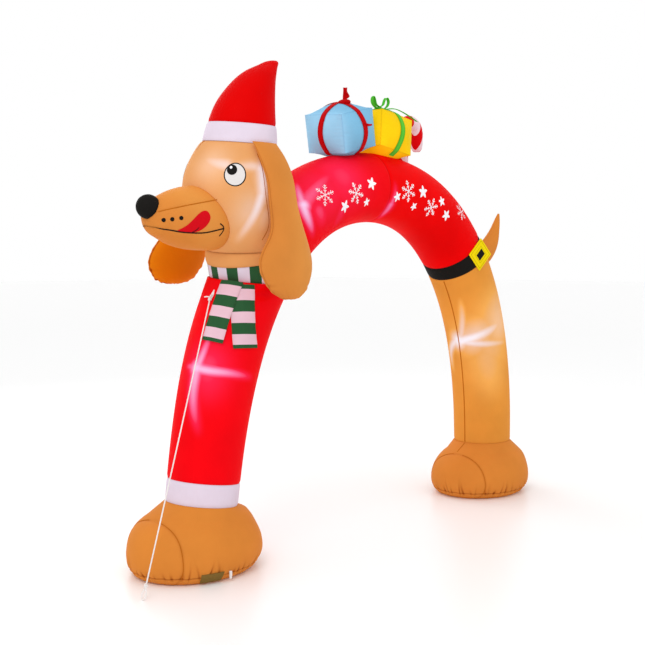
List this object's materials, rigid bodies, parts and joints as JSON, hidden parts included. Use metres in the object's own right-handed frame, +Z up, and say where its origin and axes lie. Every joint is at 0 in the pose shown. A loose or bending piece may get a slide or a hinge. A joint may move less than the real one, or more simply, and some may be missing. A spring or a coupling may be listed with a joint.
{
  "type": "inflatable walk-through arch",
  "caption": "Blown-up cloth arch in the form of a long standing dog; people walk under its belly between front leg and rear leg.",
  "frame": {"origin": "middle of the object's box, without the free rope, on the ground", "axes": "+Z up; +X along the arch from the head's end to the rear leg; the passage under the arch runs along Y"},
  "size_m": [3.0733, 0.8278, 2.4134],
  "materials": {
    "red polyester": "woven",
    "tan polyester": "woven",
    "white polyester": "woven",
    "black polyester": "woven",
    "yellow polyester": "woven",
    "light blue polyester": "woven",
    "striped scarf cloth": "woven, green and white stripes",
    "dark red ribbon": "woven",
    "green ribbon": "woven",
    "cane cloth": "woven, red, pink and white stripes",
    "olive inlet mesh": "open mesh",
    "white webbing": "webbing and cord"
  },
  "bodies": {
    "root": {"leg_cuff": "white polyester", "body_front": "red polyester", "body_rear": "red polyester", "belt": "black polyester", "rear_leg": "tan polyester", "scarf_band": "striped scarf cloth", "neck": "tan polyester", "head": "tan polyester", "hat_band": "white polyester", "hat": "red polyester", "muzzle": "tan polyester", "nose": "black polyester", "ear_near": "tan polyester", "ear_far": "tan polyester", "front_foot": "tan polyester", "front_toe_cap": "tan polyester", "rear_foot": "tan polyester", "rear_toe_cap": "tan polyester", "blower_inlet": "olive inlet mesh", "stake_loop": "white webbing", "tail": "tan polyester", "buckle": "yellow polyester", "buckle_eye": "black polyester", "blue_box": "light blue polyester", "yellow_box": "yellow polyester", "blue_box_ribbon": "dark red ribbon", "yellow_box_ribbon": "green ribbon", "candy_cane": "cane cloth", "scarf_tail_left": "striped scarf cloth", "scarf_tail_right": "striped scarf cloth", "rope_tab": "white webbing", "rope_knot": "white webbing", "ground_loop": "white webbing", "guy_rope": "white webbing"}
  },
  "joints": []
}
